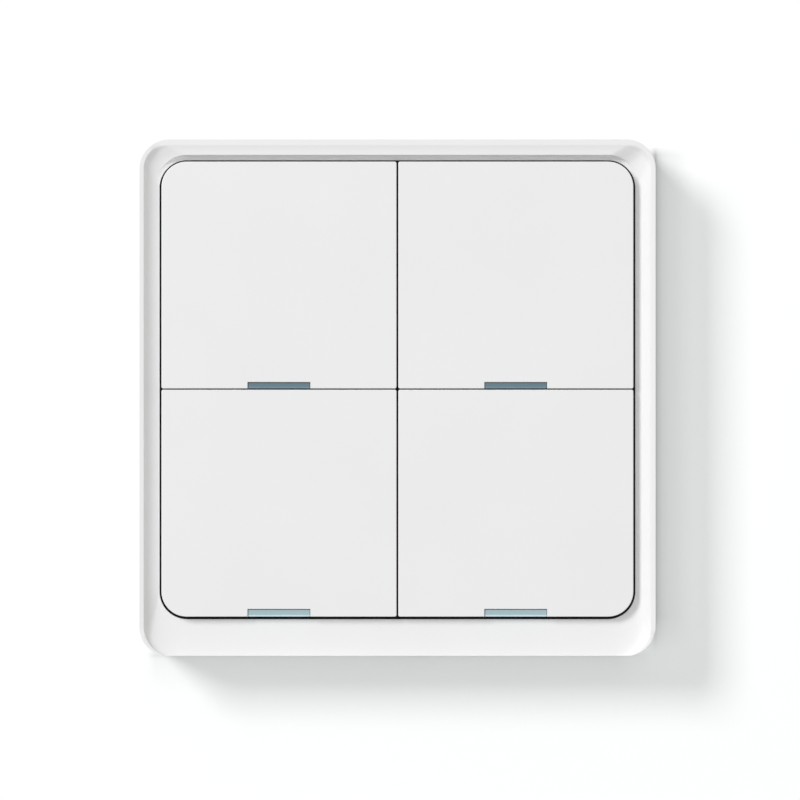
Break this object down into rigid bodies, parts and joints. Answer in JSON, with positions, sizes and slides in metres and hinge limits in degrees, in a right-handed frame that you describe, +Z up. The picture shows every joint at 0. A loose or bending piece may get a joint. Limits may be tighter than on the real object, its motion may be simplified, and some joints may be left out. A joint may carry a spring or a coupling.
{
  "type": "wireless scene switch",
  "caption": "Square wall-mounted wireless scene switch: hinged rocker keys with light guides in a concave frame, on a pull-off coin cell unit gripping a wall plate.",
  "frame": {"origin": "centre of the wall plate's back face, on the wall", "axes": "+X to the right seen from the room, +Y into the wall, +Z up"},
  "size_m": [0.086, 0.013, 0.086],
  "materials": {
    "frame_white": "satin moulded",
    "key_white": "fine satin moulded",
    "guide_clear": "polished clear",
    "housing_white": "fine textured moulded",
    "plate_grey": "fine textured moulded",
    "foam_grey": "closed cell foam",
    "screw_steel": "zinc plated",
    "carrier_grey": "moulded",
    "board_green": "solder mask",
    "switch_black": "moulded",
    "sheet_steel": "nickel plated",
    "plunger_brown": "moulded",
    "led_body": "cast resin",
    "radio_blue": "solder mask",
    "ceramic_white": "fired",
    "ceramic_tan": "fired with tinned ends",
    "cell_steel": "stamped",
    "holder_black": "moulded"
  },
  "bodies": {
    "wall_mount": {"wall_plate": "plate_grey", "adhesive_pads": "foam_grey"},
    "switch_unit": {"rear_housing": "housing_white", "housing_screws": "screw_steel", "front_frame": "frame_white", "key_carrier": "carrier_grey", "circuit_board": "board_green", "switch_bases": "switch_black", "switch_covers": "sheet_steel", "status_leds": "led_body", "radio_module": "radio_blue", "radio_shield": "sheet_steel", "chip_antenna": "ceramic_white", "storage_capacitors": "ceramic_tan", "coin_cell": "cell_steel", "battery_holder": "holder_black", "positive_contact": "sheet_steel", "negative_contact": "sheet_steel", "light_guide_upper_left": "guide_clear", "snap_dome_upper_left": "sheet_steel", "light_guide_upper_right": "guide_clear", "snap_dome_upper_right": "sheet_steel", "light_guide_lower_left": "guide_clear", "snap_dome_lower_left": "sheet_steel", "light_guide_lower_right": "guide_clear", "snap_dome_lower_right": "sheet_steel"},
    "upper_left_key": {"key_upper_left": "key_white"},
    "upper_left_plunger": {"plunger_upper_left": "plunger_brown"},
    "upper_right_key": {"key_upper_right": "key_white"},
    "upper_right_plunger": {"plunger_upper_right": "plunger_brown"},
    "lower_left_key": {"key_lower_left": "key_white"},
    "lower_left_plunger": {"plunger_lower_left": "plunger_brown"},
    "lower_right_key": {"key_lower_right": "key_white"},
    "lower_right_plunger": {"plunger_lower_right": "plunger_brown"}
  },
  "joints": [
    {"name": "unit_pull", "type": "slide", "parent": "wall_mount", "child": "switch_unit", "axis": [0, -1, 0], "range_m": [0, 0.015]},
    {"name": "upper_left_press", "type": "hinge", "parent": "switch_unit", "child": "upper_left_key", "pos_m": [-0.01968, -0.01, 0.0364], "axis": [1, 0, 0], "range_deg": [0, 0.89525], "stiffness_Nm_per_rad": 1.2},
    {"name": "upper_left_plunge", "type": "slide", "parent": "switch_unit", "child": "upper_left_plunger", "axis": [0, 1, 0], "range_m": [0, 0.00025001], "deforming": ["snap_dome_upper_left"]},
    {"name": "upper_right_press", "type": "hinge", "parent": "switch_unit", "child": "upper_right_key", "pos_m": [0.01968, -0.01, 0.0364], "axis": [1, 0, 0], "range_deg": [0, 0.89525], "stiffness_Nm_per_rad": 1.2},
    {"name": "upper_right_plunge", "type": "slide", "parent": "switch_unit", "child": "upper_right_plunger", "axis": [0, 1, 0], "range_m": [0, 0.00025001], "deforming": ["snap_dome_upper_right"]},
    {"name": "lower_left_press", "type": "hinge", "parent": "switch_unit", "child": "lower_left_key", "pos_m": [-0.01968, -0.01, -0.0015], "axis": [1, 0, 0], "range_deg": [0, 0.89525], "stiffness_Nm_per_rad": 1.2},
    {"name": "lower_left_plunge", "type": "slide", "parent": "switch_unit", "child": "lower_left_plunger", "axis": [0, 1, 0], "range_m": [0, 0.00025001], "deforming": ["snap_dome_lower_left"]},
    {"name": "lower_right_press", "type": "hinge", "parent": "switch_unit", "child": "lower_right_key", "pos_m": [0.01968, -0.01, -0.0015], "axis": [1, 0, 0], "range_deg": [0, 0.89525], "stiffness_Nm_per_rad": 1.2},
    {"name": "lower_right_plunge", "type": "slide", "parent": "switch_unit", "child": "lower_right_plunger", "axis": [0, 1, 0], "range_m": [0, 0.00025001], "deforming": ["snap_dome_lower_right"]}
  ],
  "couplings": [
    {"joint": "upper_left_plunge", "follows": "upper_left_press", "m_per_rad": 0.016},
    {"joint": "upper_right_plunge", "follows": "upper_right_press", "m_per_rad": 0.016},
    {"joint": "lower_left_plunge", "follows": "lower_left_press", "m_per_rad": 0.016},
    {"joint": "lower_right_plunge", "follows": "lower_right_press", "m_per_rad": 0.016}
  ]
}
